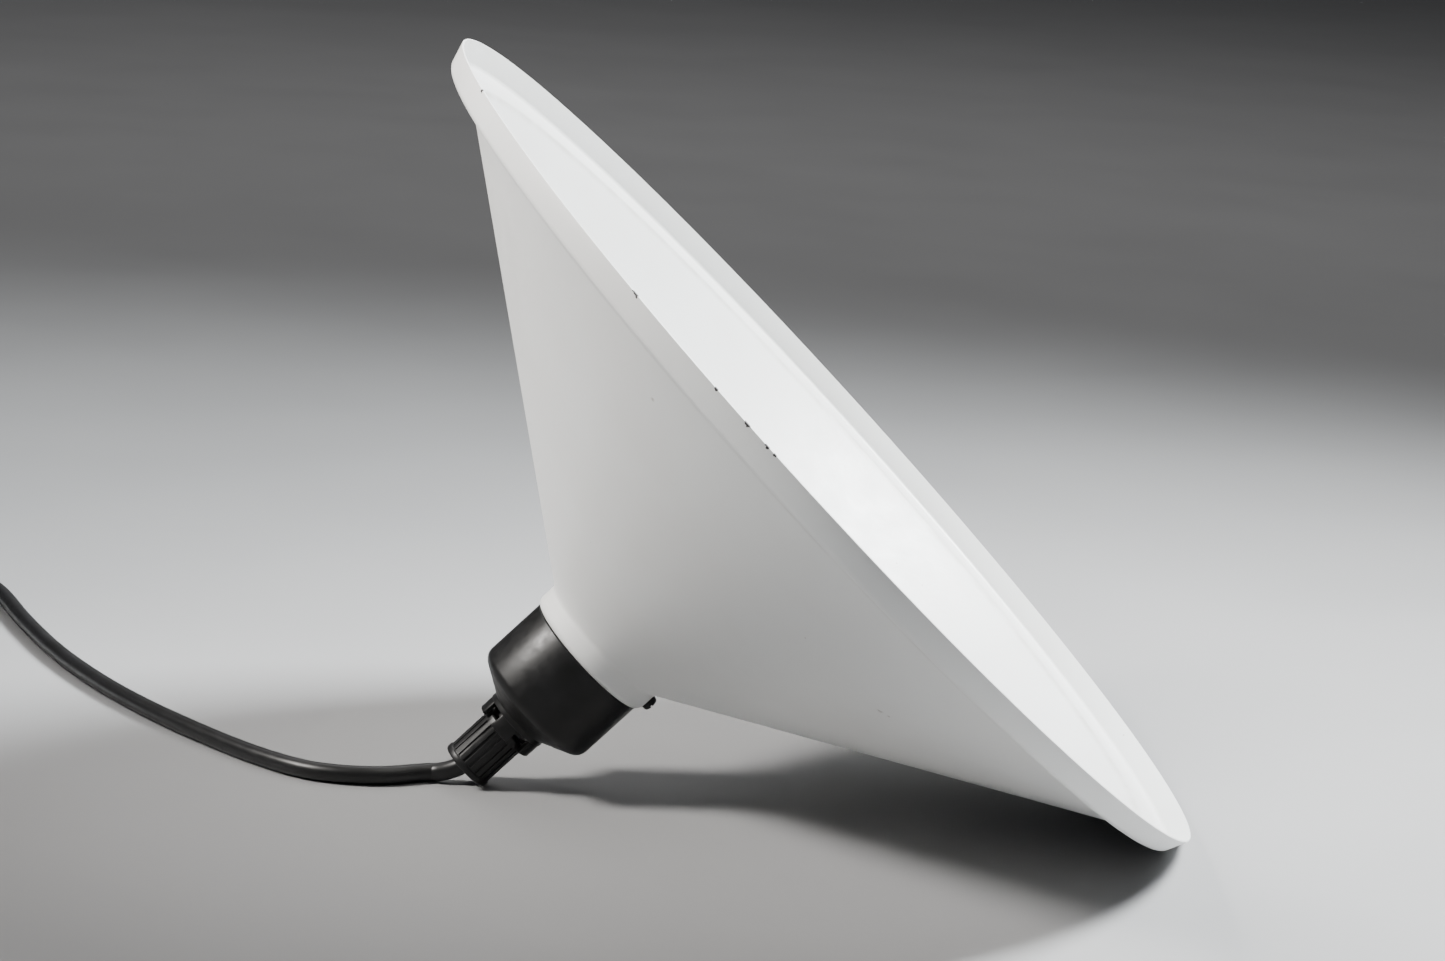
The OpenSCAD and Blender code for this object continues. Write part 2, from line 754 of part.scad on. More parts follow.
module cup_gland() {
    floor_s = cup_h - cup_wall;
    color(black)
        cup_to_lying()
            difference() {
                union() {
                    translate([0, 0, floor_s - gland_flange_h])
                        cylinder(h = gland_flange_h, r = gland_flange_r, $fn = 6);
                    translate([0, 0, floor_s - 1])
                        cylinder(h = cup_wall + 1 + gland_out, r = gland_r);
                }
                translate([0, 0, floor_s - gland_flange_h - 1])
                    cylinder(h = cup_wall + gland_flange_h + gland_out + 2, r = flex_r + 0.15);
                translate([0, 0, cup_screw_at])
                    rotate([90, 0, 0]) cylinder(h = gland_r + 1, d = clamp_screw_d + hole_gap, $fn = 24);
            }
}

module cup_screw() {
    color(black)
        cup_to_lying()
            translate([0, -gland_r - 0.2, cup_screw_at])
                rotate([90, 0, 0])
                    slotted_screw(gland_r - flex_r - 0.2, clamp_screw_d, clamp_head_d, clamp_head_h);
}

// Two-pole connector on the cup's lower wall
module terminal_block() {
    color(porcelain)
        difference() {
            translate([cup_x - connector_size[0] / 2, connector_y, connector_low]) cube(connector_size);
            for (side = [-1, 1])
                translate([cup_x + side * connector_pitch / 2, connector_y - 1, connector_hole_z]) {
                    rotate([-90, 0, 0]) cylinder(h = connector_size[1] + 2, d = 4, $fn = 24);
                    for (k = [0.25, 0.75])
                        translate([0, 1 + k * connector_size[1], 0])
                            cylinder(h = connector_size[2], d = 4.2, $fn = 24);
                }
        }
}

module block_screws() {
    head_h = 1.4;
    screw_d = 3;
    top = connector_low + connector_size[2] - 2;
    color(steel)
        for (side = [-1, 1], k = [0.25, 0.75])
            translate([cup_x + side * connector_pitch / 2, connector_y + k * connector_size[1], top])
                slotted_screw(top - connector_hole_z - core_d / 2, screw_d, 3.8, head_h);
}

module tail_cores() {
    back = connector_back;
    hole_z = connector_hole_z;
    start = cup_point(cup_flex_end);
    free = cup_point(cup_flex_end - core_straight);
    for (side = [-1, 1])
        color(side > 0 ? "#5a3a22" : "#2a55a8")
            tube(concat([start + [side * core_pitch / 2, 0, 0]], smooth([
                free + [side * core_pitch / 2, 0, 0],
                [cup_x + side * (core_pitch / 2 + 0.4), free[1] - 2, free[2] + 0.8],
                [cup_x + side * (connector_pitch / 2 - 1), back + 6, start[2] - 2],
                [cup_x + side * connector_pitch / 2, back + 2, hole_z + 1],
                [cup_x + side * connector_pitch / 2, back - 1, hole_z],
                [cup_x + side * connector_pitch / 2, back - 6, hole_z]
            ], 3)), core_d / 2, 8);
}

shade();
shade_screw();
holder_cap();
holder_skirt();
shade_ring();
ring_washer();
contact_block();
screw_shell();
centre_contact();
live_strap();
side_contact();
block_rivets();
live_terminal();
neutral_terminal();
terminal_screws();
live_core();
neutral_core();
grip_base();
grip_collet();
grip_nut();
cord_lead();
cord_coil();
cord_tail();
ceiling_cup();
cup_gland();
cup_screw();
terminal_block();
block_screws();
tail_cores();
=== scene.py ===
# %% [markdown]
# # A conical pendant lamp, laid on its side
# The lamp is a spun white steel shade on a black plastic lampholder, with a ribbed cord grip and a
# round black flex. This lesson builds its looks around the engineering model, which is loaded first
# and never moved: every piece takes its place from it.

# %% Load the engineering model
import json
import math

import bpy
from mathutils import Matrix, Vector


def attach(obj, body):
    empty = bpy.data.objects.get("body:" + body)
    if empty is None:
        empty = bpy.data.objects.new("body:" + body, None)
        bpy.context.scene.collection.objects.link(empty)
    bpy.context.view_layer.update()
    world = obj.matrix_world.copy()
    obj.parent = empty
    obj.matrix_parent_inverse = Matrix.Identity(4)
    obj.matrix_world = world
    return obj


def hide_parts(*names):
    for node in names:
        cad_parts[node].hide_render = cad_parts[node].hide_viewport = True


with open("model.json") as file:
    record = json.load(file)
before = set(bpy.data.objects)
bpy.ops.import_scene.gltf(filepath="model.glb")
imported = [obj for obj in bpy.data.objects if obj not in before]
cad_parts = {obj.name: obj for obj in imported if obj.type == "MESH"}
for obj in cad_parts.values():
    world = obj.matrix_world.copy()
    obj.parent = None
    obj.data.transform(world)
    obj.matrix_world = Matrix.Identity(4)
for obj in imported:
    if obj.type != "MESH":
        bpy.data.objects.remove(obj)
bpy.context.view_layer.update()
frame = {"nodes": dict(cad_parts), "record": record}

# %% [markdown]
# ## Where the lamp lies
# A lamp is easiest to shape hanging, about an upright axis, as on a lathe. The bulb socket in the
# record says where that axis really runs, so each piece is shaped hanging, in millimetres from the
# middle of the shade's mouth, and then laid down with one matrix.

# %% The lamp's axis, and the matrix that lays a piece down
MM = 0.001
socket = next(m for m in frame["record"]["mounts"] if m["name"] == "bulb_socket")
TO_MOUTH = Vector(socket["axis"])
SOCKET_MIDDLE = 98 * MM
MOUTH = Vector(socket["pos_m"]) + SOCKET_MIDDLE * TO_MOUTH
LEAN = math.atan2(TO_MOUTH.z, TO_MOUTH.x)
LAY_DOWN = Matrix.Translation(MOUTH) @ Matrix.Rotation(-(math.pi / 2 + LEAN), 4, "Y")


def on_axis(height):
    """A point on the lamp's axis, height millimetres above the mouth of the hanging lamp."""
    return LAY_DOWN @ Vector((0, 0, height * MM))


print(f"the lamp leans {math.degrees(LEAN):.2f} degrees, its mouth is {MOUTH.z:.4f} m up")

# %% [markdown]
# ## The camera
# The camera stands low and a little to the left, with a long lens, so that the mouth shows as a thin
# ellipse. It is tilted a few degrees, as a hand-held one is.

# %% The camera
VIEW_SIDE = math.radians(-2.43)
VIEW_UP = math.radians(11.47)
VIEW_TILT = math.radians(3.71)
VIEW_DISTANCE = 1.3455
VIEW_CENTRE = Vector((-0.06, 0, 0.11))
VIEW_SHIFT = (0.0262, -0.001)
SENSOR = 36
LENS = 99.654

towards = Vector((
    math.sin(VIEW_SIDE) * math.cos(VIEW_UP),
    -math.cos(VIEW_SIDE) * math.cos(VIEW_UP),
    math.sin(VIEW_UP),
))
level = Vector((math.cos(VIEW_SIDE), math.sin(VIEW_SIDE), 0))
upright = towards.cross(level)
across = level * math.cos(VIEW_TILT) + upright * math.sin(VIEW_TILT)
over = upright * math.cos(VIEW_TILT) - level * math.sin(VIEW_TILT)
eye = VIEW_CENTRE + VIEW_SHIFT[0] * across + VIEW_SHIFT[1] * over + VIEW_DISTANCE * towards

bpy.ops.object.camera_add(location=eye)
camera = bpy.context.object
camera.name = "camera"
turned_to = Matrix((across, over, towards)).transposed()
camera.rotation_euler = turned_to.to_euler()
camera.data.sensor_width = SENSOR
camera.data.lens = LENS
bpy.context.scene.camera = camera
print("camera at", [round(v, 4) for v in eye], "lens", round(camera.data.lens, 1), "mm")

# %% [markdown]
# ## Selecting
# Most edits begin with a selection. By hand it is made with a box or a click; here a test on each
# vertex, edge or face picks the same parts.

# %% Helpers that select
def let_go():
    """Deselects every object."""
    if bpy.context.object and bpy.context.object.mode != "OBJECT":
        bpy.ops.object.mode_set(mode="OBJECT")
    bpy.ops.object.select_all(action="DESELECT")


def take(*pieces):
    """Selects these objects only; the first one is the active one."""
    let_go()
    for piece in pieces:
        piece.select_set(True)
    bpy.context.view_layer.objects.active = pieces[0]
    return pieces[0]


def pick(piece, kind, test=lambda part: True):
    """Goes into edit mode with the vertices, edges or faces selected that pass the test, or all."""
    take(piece)
    bpy.ops.object.mode_set(mode="EDIT")
    bpy.ops.mesh.select_mode(type=kind)
    bpy.ops.mesh.select_all(action="DESELECT")
    bpy.ops.object.mode_set(mode="OBJECT")
    parts = {"VERT": piece.data.vertices, "EDGE": piece.data.edges, "FACE": piece.data.polygons}[kind]
    found = [part for part in parts if test(part)]
    for part in found:
        part.select = True
    bpy.ops.object.mode_set(mode="EDIT")
    return len(found)


def done():
    """Leaves edit mode."""
    bpy.ops.object.mode_set(mode="OBJECT")


def ends(piece, edge):
    """Where the two ends of an edge are."""
    return [piece.data.vertices[v].co for v in edge.vertices]


# %% [markdown]
# ## The floor
# The floor is a pale sheet that curves up far behind. A plane's far edge is extruded upwards, and the
# fold is beveled into a wide sweep.

# %% The floor
FLOOR_REACH, WALL_HIGH = 5, 4
SWEEP_RADIUS, SWEEP_STEPS = 1.2, 16
NEARLY_FLAT = 0.1
let_go()
bpy.ops.mesh.primitive_plane_add(size=2 * FLOOR_REACH, location=(0, 1, 0))
floor = bpy.context.object
floor.name = "floor"
pick(floor, "EDGE", lambda e: all(end.y > 0 for end in ends(floor, e)))
bpy.ops.mesh.extrude_region_move(TRANSFORM_OT_translate={"value": (0, 0, WALL_HIGH)})
done()
pick(floor, "EDGE", lambda e: all(end.y > 0 and abs(end.z) < NEARLY_FLAT for end in ends(floor, e)))
bpy.ops.mesh.bevel(offset=SWEEP_RADIUS, segments=SWEEP_STEPS, affect="EDGES")
done()
bpy.ops.object.shade_smooth()
print("floor and sweep:", len(floor.data.polygons), "faces")

# %% [markdown]
# ## The lights
# Three soft lamps: a wide one for the backdrop, a weak one from the upper left for the outside of the
# cone, and one from the right, a little behind, that shines into the shade.

# %% The lights
def soft_light(name, place, aim, size, power, tint, spread=180):
    """A rectangular lamp that shines towards aim; a small spread, in degrees, narrows its light."""
    bpy.ops.object.light_add(type="AREA", location=place)
    light = bpy.context.object
    light.name = name
    light.data.shape = "RECTANGLE"
    light.data.size, light.data.size_y = size
    light.data.energy = power
    light.data.color = tint
    light.data.spread = math.radians(spread)
    light.rotation_euler = (Vector(aim) - Vector(place)).to_track_quat("-Z", "Y").to_euler()


let_go()
soft_light("light_behind", (0, 1.8, 2.0), (0, 1.2, 0), (2.0, 1.2), 20, (1, 0.99, 0.98))
soft_light("light_left", (-0.95, -0.16, 0.98), (-0.04, 0, 0.21), (0.3, 0.3), 2.4, (1, 0.97, 0.93), 42)
soft_light("light_right", (0.9, 0.5, 1.3), (0.02, 0.02, 0.16), (0.5, 0.5), 22, (0.96, 0.99, 1), 72)
world = bpy.data.worlds.new("studio")
bpy.context.scene.world = world
world.use_nodes = True
background = world.node_tree.nodes["Background"]
background.inputs["Color"].default_value = (0.75, 0.77, 0.8, 1)
background.inputs["Strength"].default_value = 0.13
print("three soft lights and a dim room")

# %% [markdown]
# ## The flex
# The flex is a black round mains cable, 6.4 mm thick. It comes out of the grip, bends down on to the
# surface with its own stiffness, and runs off to the left and back. What is left over of it is wound
# into a neat coil, and its end goes into the ceiling cup. A curve with a round bevel is the natural
# tool: one spline, whose handles are set from its neighbours so that it stays smooth.

# %% The flex's route
FLEX = 6.4
FLEX_UP = FLEX / 2
BEND, BEND_STEPS, RISE_STEPS = 26, 4, 3
LEAD_ROUTE = [
    (-146, -7), (-166, -5), (-184, 8), (-204, 30), (-230, 64),
    (-252, 99), (-272, 138), (-290, 182), (-306, 226), (-323, 257),
]
COIL_AT = (-375, 268)
COIL_START = 30
SLOT_TURN = 290
SLOT_CHANGE = 70
COIL_STEPS = 64
COIL_SLOTS = [(38.25, 3.2), (31.75, 3.2), (31.75, 9.7), (38.25, 9.7), (38.25, 16.2)]
TAIL_ROUTE = [
    (-358, 306, 15), (-376, 323, 12), (-398, 334, 8), (-420, 336, 4.5),
    (-441, 328, 3.2), (-456, 312, 3.2), (-464, 295, 3.2),
]
CUP_RADIUS, CUP_NECK, CUP_HIGH = 36, 11, 50
CUP_X, CUP_MOUTH_Y, CUP_MOUTH_Z = -466, 216.123, 32.1994
CUP_LEAN = math.atan2(CUP_RADIUS - CUP_NECK, CUP_HIGH)
CUP_BEND_Y, FLEX_END = 280.26, 42
FLEX_FROM, BEND_FROM, EXIT_AT = 135.3, 161.596, 160


def coil_at(turn):
    """A point of the wound flex, turn degrees after its start. It moves over as each slot ends."""
    slot = min(int(turn // SLOT_TURN), len(COIL_SLOTS) - 1)
    (r, z), (r_next, z_next) = COIL_SLOTS[slot], COIL_SLOTS[min(slot + 1, len(COIL_SLOTS) - 1)]
    share = max(0, (turn - slot * SLOT_TURN - (SLOT_TURN - SLOT_CHANGE)) / SLOT_CHANGE)
    share = min(share, 1)
    share = share * share * (3 - 2 * share)
    r, z = r + (r_next - r) * share, z + (z_next - z) * share
    angle = math.radians(COIL_START + turn)
    return (COIL_AT[0] + r * math.cos(angle), COIL_AT[1] + r * math.sin(angle), z)


def flex_route():
    """The flex's points in metres, from inside the cord grip to inside the ceiling cup."""
    inside = [on_axis(FLEX_FROM), on_axis((FLEX_FROM + BEND_FROM) / 2)]
    low = on_axis(BEND_FROM) / MM
    out_x = low.x - BEND * math.sin(LEAN)
    bend = [LEAN * (1 - i / BEND_STEPS) for i in range(BEND_STEPS + 1)]
    route = [(out_x + BEND * math.sin(a), 0, FLEX_UP + BEND * (1 - math.cos(a))) for a in bend]
    route += [(x, y, FLEX_UP) for x, y in LEAD_ROUTE]
    whole = SLOT_TURN * len(COIL_SLOTS)
    route += [coil_at(whole * i / COIL_STEPS) for i in range(COIL_STEPS + 1)]
    route += TAIL_ROUTE
    rise = [CUP_LEAN * i / RISE_STEPS for i in range(RISE_STEPS + 1)]
    route += [(CUP_X, CUP_BEND_Y - BEND * math.sin(a), FLEX_UP + BEND * (1 - math.cos(a))) for a in rise]
    end_y, end_z = CUP_MOUTH_Y + FLEX_END * math.cos(CUP_LEAN), CUP_MOUTH_Z - FLEX_END * math.sin(CUP_LEAN)
    route += [(CUP_X, end_y, end_z)]
    return inside + [Vector(p) * MM for p in route]


# %% Draw the flex
def round_wire(name, route, thickness):
    """A smooth round wire: one open spline, whose handles point along the line between its neighbours.

    The bevel is one metre deep and each knot's radius scales it down: Blender also adds that radius to
    the curve's bounding box, which would be two metres too large with the usual radius of 1.
    """
    let_go()
    bpy.ops.curve.primitive_bezier_curve_add()
    wire = bpy.context.object
    wire.name = name
    wire.data.splines.remove(wire.data.splines[0])
    spline = wire.data.splines.new("BEZIER")
    spline.bezier_points.add(len(route) - 1)
    for i, (knot, place) in enumerate(zip(spline.bezier_points, route)):
        pull = (route[min(i + 1, len(route) - 1)] - route[max(i - 1, 0)]) / 6
        knot.handle_left_type = knot.handle_right_type = "FREE"
        knot.co, knot.handle_left, knot.handle_right = place, place - pull, place + pull
        knot.radius = thickness / 2
    wire.data.resolution_u = 8
    wire.data.bevel_depth = 1
    wire.data.bevel_resolution = 6
    wire.data.use_fill_caps = True
    return wire


flex_points = flex_route()
flex = round_wire("flex", flex_points, FLEX * MM)
print(f"flex: {len(flex_points)} points, {flex.data.splines[0].calc_length():.3f} m long")
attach(flex, "holder")
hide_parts("cord_lead", "cord_coil", "cord_tail")

# %% [markdown]
# ## Finishes
# Each finish is a node material that reads Object coordinates, so its pattern is as large on one
# piece as on the next. Sizes are given in millimetres. What is the same all over a surface, such as
# how metallic it is, is set on the shader itself; nodes carry only what changes from place to place.

# %% Short ways to build a node material
MIX_SHARE, MIX_FIRST, MIX_SECOND, MIX_RESULT = 0, 6, 7, 2


def add(tree, kind, inputs=None, **settings):
    """Adds a node. An input is given a value, or the output that feeds it."""
    node = tree.nodes.new("ShaderNode" + kind)
    for key, value in settings.items():
        setattr(node, key, value)
    for key, value in (inputs or {}).items():
        if isinstance(value, bpy.types.NodeSocket):
            tree.links.new(value, node.inputs[key])
        else:
            node.inputs[key].default_value = value
    return node


def start_finish(name, metal=0.0, shine=0.5):
    """An empty finish: the material, its node tree, its shader and the piece's own coordinates."""
    finish = bpy.data.materials.new(name)
    finish.use_nodes = True
    tree = finish.node_tree
    shader = tree.nodes["Principled BSDF"]
    shader.inputs["Metallic"].default_value = metal
    shader.inputs["Specular IOR Level"].default_value = shine
    return finish, tree, shader, add(tree, "TexCoord").outputs["Object"]


def cloud(tree, where, size, detail=3.0, rough=0.5):
    """Soft noise whose blobs are about size millimetres across."""
    inputs = {"Vector": where, "Scale": 1 / (size * MM), "Detail": detail, "Roughness": rough}
    return add(tree, "TexNoise", inputs).outputs["Fac"]


def span(tree, value, low, high, to_low=0.0, to_high=1.0):
    """Stretches the part of a value from low to high over a new range."""
    inputs = {"Value": value, "From Min": low, "From Max": high, "To Min": to_low, "To Max": to_high}
    return add(tree, "MapRange", inputs).outputs["Result"]


def calc(tree, operation, *values):
    """The result of one Math node."""
    return add(tree, "Math", dict(enumerate(values)), operation=operation).outputs["Value"]


def blend_colour(tree, share, first, second):
    """first where share is 0, second where it is 1."""
    mix = add(tree, "Mix", data_type="RGBA")
    for which, value in ((MIX_SHARE, share), (MIX_FIRST, first), (MIX_SECOND, second)):
        if isinstance(value, bpy.types.NodeSocket):
            tree.links.new(value, mix.inputs[which])
        else:
            mix.inputs[which].default_value = (*value, 1)
    return mix.outputs[MIX_RESULT]


def relief(tree, height, deep, under=None):
    """Bumps deep millimetres high, on top of the bumps under."""
    inputs = {"Height": height, "Distance": deep * MM}
    if under:
        inputs["Normal"] = under
    return add(tree, "Bump", inputs).outputs["Normal"]


def wear_in(tree, shader, colour, rough, bumps):
    """Joins a finish's colour, roughness and bumps to its shader."""
    for key, value in (("Base Color", colour), ("Roughness", rough), ("Normal", bumps)):
        tree.links.new(value, shader.inputs[key])


# %% [markdown]
# ### White lacquer
# The shade is sprayed with a satin white lacquer. Close to, it has a fine grain, and it is not quite
# even in tone. Years of use have knocked small chips off the free edge of the lip, down to the dark
# primer, and left a few marks on the cone. Behind the lip, in the fold on to the ledge, a darker line
# is painted: a little dust, and painted shade in the crease. Chips and marks are told by their angle
# round the lamp's axis, so a Mapping node first turns the coordinates back to the hanging lamp. A chip
# has an angle in degrees and a length; a mark has a height, an angle, a distance from the axis and a
# size.

# %% The white lacquer
STAND_UP = LAY_DOWN.inverted()
LIP_RADIUS = 180
RIM_CHIPS = [(-21.2, 1.6), (-56.9, 2.8), (-69.3, 1.6), (-73.7, 2.4), (-76.5, 2.2), (-77.6, 1.2)]
CONE_MARKS = [
    (20, -62.6, 149.8, 0.8), (38, -116.9, 122.9, 1.1), (37, -118.2, 124.0, 0.6), (61, 95, 89, 0.9),
]
SPECKS_PER_METRE = 38.0
PRIMER, DUST_AND_SHADE, STAIN = (0.035, 0.03, 0.032), (0.45, 0.43, 0.39), (0.2, 0.15, 0.11)


def hanging(tree, where):
    """The coordinates of the hanging lamp, in metres."""
    turn = STAND_UP.to_euler()
    inputs = {"Vector": where, "Location": STAND_UP.translation, "Rotation": turn}
    return add(tree, "Mapping", inputs).outputs["Vector"]


def lacquer(name, light, dull):
    """Sprayed lacquer with chips along the lip's edge, marks, specks, and a line behind the lip of dust and
    painted shade.
    """
    finish, tree, shader, where = start_finish(name, shine=0.45)
    hung = hanging(tree, where)
    parts = add(tree, "SeparateXYZ", {"Vector": hung}).outputs
    angle = calc(tree, "ARCTAN2", parts["Y"], parts["X"])
    ragged = cloud(tree, where, 1.1, 4)
    near_edge = calc(tree, "LESS_THAN", parts["Z"], span(tree, ragged, 0.3, 0.7, 0.2 * MM, 1.1 * MM))
    chips = None
    for degrees, length in RIM_CHIPS:
        off = calc(tree, "ABSOLUTE", calc(tree, "SUBTRACT", angle, math.radians(degrees)))
        half = length / 2 / LIP_RADIUS
        chip = calc(tree, "LESS_THAN", off, span(tree, ragged, 0.3, 0.7, 0.6 * half, 1.2 * half))
        chips = chip if chips is None else calc(tree, "MAXIMUM", chips, chip)
    chips = calc(tree, "MULTIPLY", chips, near_edge)
    marks = None
    for height, degrees, radius, size in CONE_MARKS:
        a = math.radians(degrees)
        middle = (radius * math.cos(a) * MM, radius * math.sin(a) * MM, height * MM)
        far = add(tree, "VectorMath", {0: hung, 1: middle}, operation="DISTANCE").outputs["Value"]
        mark = span(tree, far, 0.4 * size * MM, 1.3 * size * MM, 0.6, 0.0)
        marks = mark if marks is None else calc(tree, "MAXIMUM", marks, mark)
    marks = calc(tree, "MULTIPLY", marks, span(tree, ragged, 0.35, 0.6))
    specks = add(tree, "TexVoronoi", {"Vector": where, "Scale": SPECKS_PER_METRE}).outputs["Distance"]
    specks = span(tree, specks, 0.008, 0.016, 0.5, 0.0)
    # Painted shade: a darker band in the fold behind the lip, on the ledge, mixed with a little dust.
    above = span(tree, parts["Z"], 8.7 * MM, 9.2 * MM)
    below = span(tree, parts["Z"], 9.5 * MM, 10.6 * MM, 1.0, 0.0)
    patchy = span(tree, cloud(tree, where, 9), 0.35, 0.7, 0.15, 0.5)
    dust_and_shade = calc(tree, "MULTIPLY", calc(tree, "MULTIPLY", above, below), patchy)
    colour = blend_colour(tree, span(tree, cloud(tree, where, 70), 0.35, 0.65), light, dull)
    colour = blend_colour(tree, dust_and_shade, colour, DUST_AND_SHADE)
    colour = blend_colour(tree, calc(tree, "MAXIMUM", marks, specks), colour, STAIN)
    colour = blend_colour(tree, chips, colour, PRIMER)
    grain = cloud(tree, where, 0.5, 2)
    peel = cloud(tree, where, 2.4, 2)
    bumps = relief(tree, grain, 0.012, relief(tree, peel, 0.05))
    bumps = relief(tree, chips, -0.12, bumps)
    rough = span(tree, cloud(tree, where, 12), 0.3, 0.7, 0.34, 0.44)
    rough = calc(tree, "ADD", rough, calc(tree, "MULTIPLY", chips, 0.2))
    wear_in(tree, shader, colour, rough, bumps)
    return finish


white_lacquer = lacquer("white_lacquer", (0.83, 0.84, 0.83), (0.80, 0.80, 0.785))
print(white_lacquer.name, "has", len(white_lacquer.node_tree.nodes), "nodes")

# %% [markdown]
# ### The other finishes
# The plastic parts have a fine moulded grain and a soft sheen that is not the same everywhere. The
# flex is smoother and a little dusty. Brass and zinc are metals, with tarnish in patches and fine
# bumps from stamping. All are variations on one recipe: two colours in patches, a roughness that
# wanders, and a fine bump.

# %% One recipe for the plain finishes
BROWN = ((0.12, 0.05, 0.02), (0.08, 0.035, 0.016))
BLUE = ((0.03, 0.12, 0.42), (0.025, 0.09, 0.33))


def plain(name, light, dark, patch, rough, grain, deep, metal=0.0, shine=0.5):
    """Two colours in patches, roughness between two values, and grain millimetres wide and deep high."""
    finish, tree, shader, where = start_finish(name, metal, shine)
    patches = span(tree, cloud(tree, where, patch, 4), 0.35, 0.65)
    colour = blend_colour(tree, patches, light, dark)
    roughness = span(tree, cloud(tree, where, patch / 3, 3), 0.3, 0.7, rough[0], rough[1])
    fine = relief(tree, cloud(tree, where, grain, 2), deep)
    wear_in(tree, shader, colour, roughness, relief(tree, cloud(tree, where, grain * 9), deep * 2, fine))
    return finish


# %% The plain finishes
black_plastic = plain(
    "black_plastic", (0.009, 0.009, 0.0095), (0.005, 0.005, 0.005), 9, (0.34, 0.46), 0.3, 0.012, shine=0.35
)
black_flex = plain(
    "black_flex", (0.011, 0.011, 0.012), (0.007, 0.007, 0.007), 14, (0.32, 0.44), 0.7, 0.01, shine=0.45
)
black_steel = plain(
    "black_steel", (0.022, 0.022, 0.024), (0.012, 0.011, 0.011), 2, (0.3, 0.45), 0.2, 0.01, metal=0.6
)
cream_plastic = plain("cream_plastic", (0.72, 0.68, 0.58), (0.66, 0.61, 0.5), 7, (0.3, 0.42), 0.4, 0.01)
brass = plain("brass", (0.72, 0.5, 0.2), (0.5, 0.33, 0.13), 4, (0.22, 0.4), 0.3, 0.006, metal=1.0)
zinc_steel = plain(
    "zinc_steel", (0.6, 0.6, 0.61), (0.45, 0.45, 0.47), 4, (0.28, 0.45), 0.3, 0.006, metal=1.0
)
brown_core = plain("brown_core", *BROWN, 3, (0.35, 0.5), 0.4, 0.006)
blue_core = plain("blue_core", *BLUE, 3, (0.35, 0.5), 0.4, 0.006)
pale_floor = plain("pale_floor", (0.31, 0.31, 0.314), (0.298, 0.298, 0.302), 400, (0.5, 0.6), 1.2, 0.02)
floor.data.materials.append(pale_floor)
flex.data.materials.append(black_flex)


def two_cores():
    """Brown on one side of the cup's middle plane, blue on the other: two conductors in one node."""
    finish, tree, shader, where = start_finish("two_cores")
    side = calc(tree, "GREATER_THAN", add(tree, "SeparateXYZ", {"Vector": where}).outputs["X"], CUP_X * MM)
    patches = span(tree, cloud(tree, where, 3), 0.35, 0.65)
    colour = blend_colour(
        tree, side, blend_colour(tree, patches, *BLUE), blend_colour(tree, patches, *BROWN)
    )
    rough = span(tree, cloud(tree, where, 2), 0.3, 0.7, 0.35, 0.5)
    wear_in(tree, shader, colour, rough, relief(tree, cloud(tree, where, 0.4), 0.006))
    return finish


print(len(bpy.data.materials), "finishes so far")


# %% [markdown]
# ## Turning a piece on the lathe
# Nearly every piece of the lamp is round, so each starts as an outline in the plane of the axis, one
# vertex extruded from point to point, and is spun about the axis. Sharp corners are then rounded with
# a Bevel modifier, as no moulded or spun edge is truly sharp.

# %% Outline, spin and round
WELD = 0.002 * MM
SMOOTH_BELOW = math.radians(35)


def outline(name, points, closed=True):
    """Draws a line through the points (radius, height), in millimetres, one vertex at a time."""
    let_go()
    bpy.ops.mesh.primitive_plane_add(size=MM)
    piece = bpy.context.object
    piece.name = piece.data.name = name
    bpy.ops.object.mode_set(mode="EDIT")
    bpy.ops.mesh.select_mode(type="VERT")
    bpy.ops.mesh.select_all(action="SELECT")
    bpy.ops.mesh.merge(type="CENTER")
    here = Vector((0, 0, 0))
    for i, (radius, height) in enumerate(points):
        there = Vector((radius * MM, 0, height * MM))
        if i:
            bpy.ops.mesh.extrude_verts_indiv()
        bpy.ops.transform.translate(value=there - here)
        here = there
    done()
    if closed:
        used = [v for edge in piece.data.edges for v in edge.vertices]
        pick(piece, "VERT", lambda v: used.count(v.index) == 1)
        bpy.ops.mesh.edge_face_add()
        done()
    return piece


def spin(piece, steps=96, angle=360):
    """Spins the whole mesh about the upright axis and closes the seam."""
    pick(piece, "VERT")
    bpy.ops.mesh.spin(steps=steps, angle=math.radians(angle), center=(0, 0, 0), axis=(0, 0, 1))
    bpy.ops.mesh.select_all(action="SELECT")
    bpy.ops.mesh.remove_doubles(threshold=WELD)
    bpy.ops.mesh.normals_make_consistent(inside=False)
    done()
    return piece


def use(piece, kind, **settings):
    """Adds a modifier and applies it at once."""
    take(piece)
    modifier = piece.modifiers.new(kind.lower(), kind)
    for key, value in settings.items():
        setattr(modifier, key, value)
    bpy.ops.object.modifier_apply(modifier=modifier.name)
    return piece


def ease(piece, width, segments=2, sharper_than=30):
    """Rounds every corner sharper than this many degrees."""
    limit = math.radians(sharper_than)
    use(piece, "BEVEL", width=width * MM, segments=segments, limit_method="ANGLE", angle_limit=limit)
    pick(piece, "FACE")
    bpy.ops.mesh.dissolve_degenerate(threshold=WELD / 2)
    done()
    return piece


def face_outwards(piece, face):
    """Turns the whole mesh inside out if this face looks towards the axis."""
    if face.normal.x * face.center.x + face.normal.y * face.center.y < 0:
        pick(piece, "FACE")
        bpy.ops.mesh.flip_normals()
        done()


def place(piece, body, slot, finish, *nodes):
    """Lays a finished piece down, gives it its finish and lets it ride on its body."""
    piece.matrix_world = LAY_DOWN @ piece.matrix_world
    return settle(piece, body, slot, finish, *nodes)


